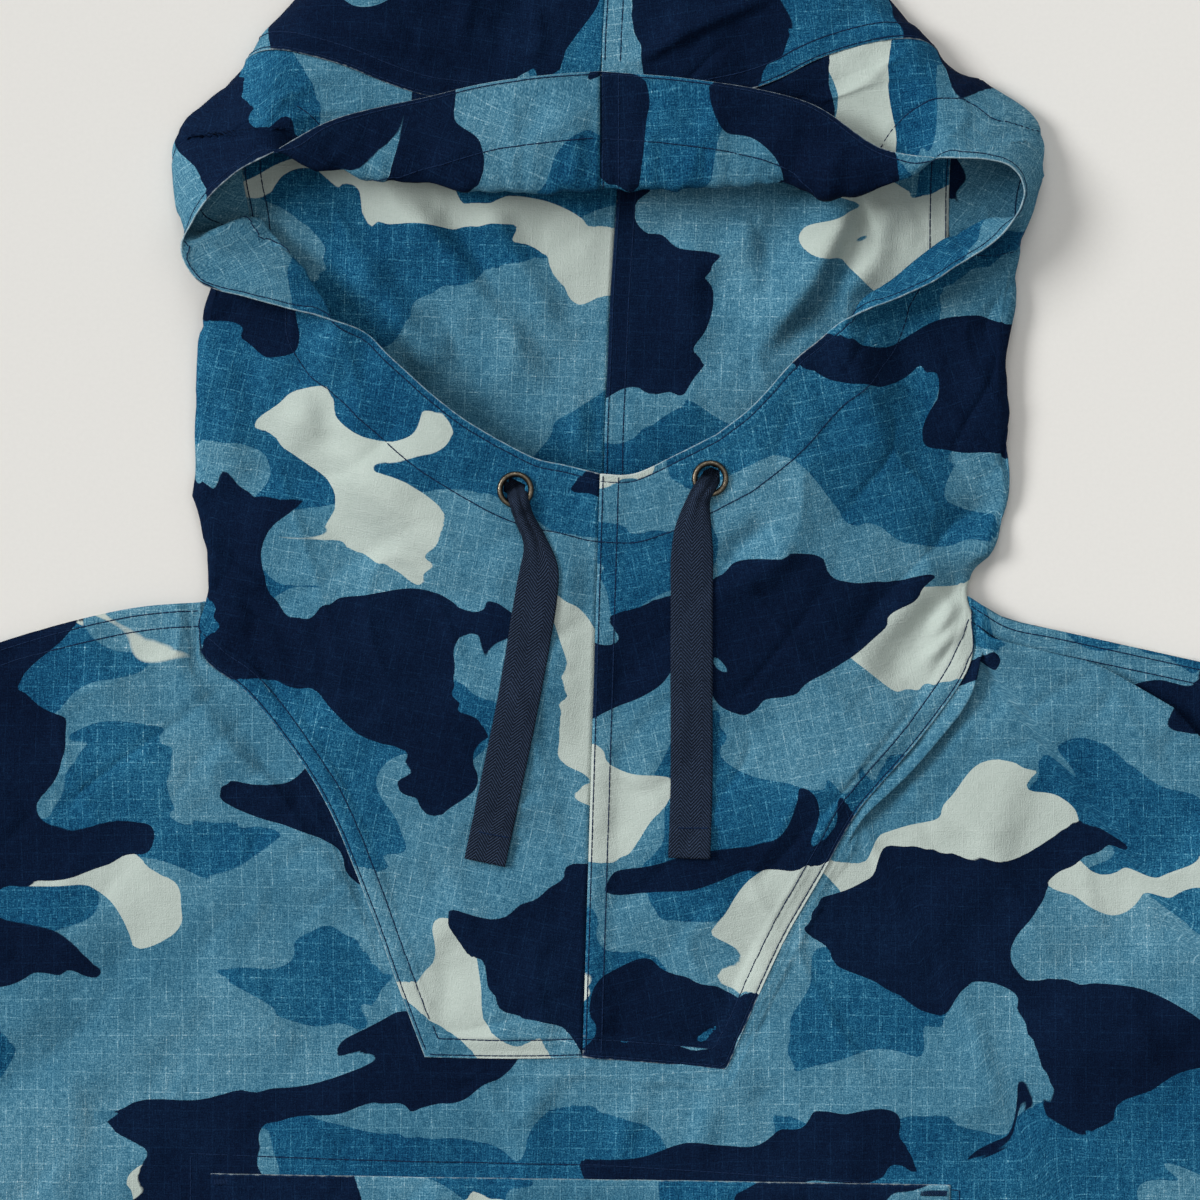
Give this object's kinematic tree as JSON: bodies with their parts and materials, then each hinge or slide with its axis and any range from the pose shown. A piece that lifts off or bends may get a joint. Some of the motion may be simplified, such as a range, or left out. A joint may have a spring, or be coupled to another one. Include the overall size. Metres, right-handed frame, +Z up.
{
  "type": "anorak pullover",
  "caption": "Hooded pullover anorak in camouflage ripstop cotton, laid flat on its back, with a deep chest inset, laced hood and kangaroo pocket.",
  "frame": {"origin": "middle of the outline on the surface it lies on", "axes": "+Z up from the surface, +Y from the hem to the crown of the hood, +X to the right as seen from above"},
  "size_m": [1.2154, 0.9899, 0.0279],
  "materials": {
    "camouflage_cotton": "slubby ripstop cotton printed in four blues",
    "herringbone_tape": "navy herringbone twill tape",
    "antiqued_brass": "darkened, lightly polished on the rolled edge",
    "sewing_thread": "navy polyester sewing thread"
  },
  "bodies": {
    "root": {"hood_front_left": "camouflage_cotton", "hood_front_right": "camouflage_cotton", "hood_back_left": "camouflage_cotton", "hood_back_right": "camouflage_cotton", "body_front": "camouflage_cotton", "body_back": "camouflage_cotton", "sleeve_left": "camouflage_cotton", "sleeve_right": "camouflage_cotton", "pocket_welt": "camouflage_cotton", "eyelet_left": "antiqued_brass", "eyelet_right": "antiqued_brass", "drawcord_left": "herringbone_tape", "drawcord_right": "herringbone_tape"}
  },
  "joints": []
}
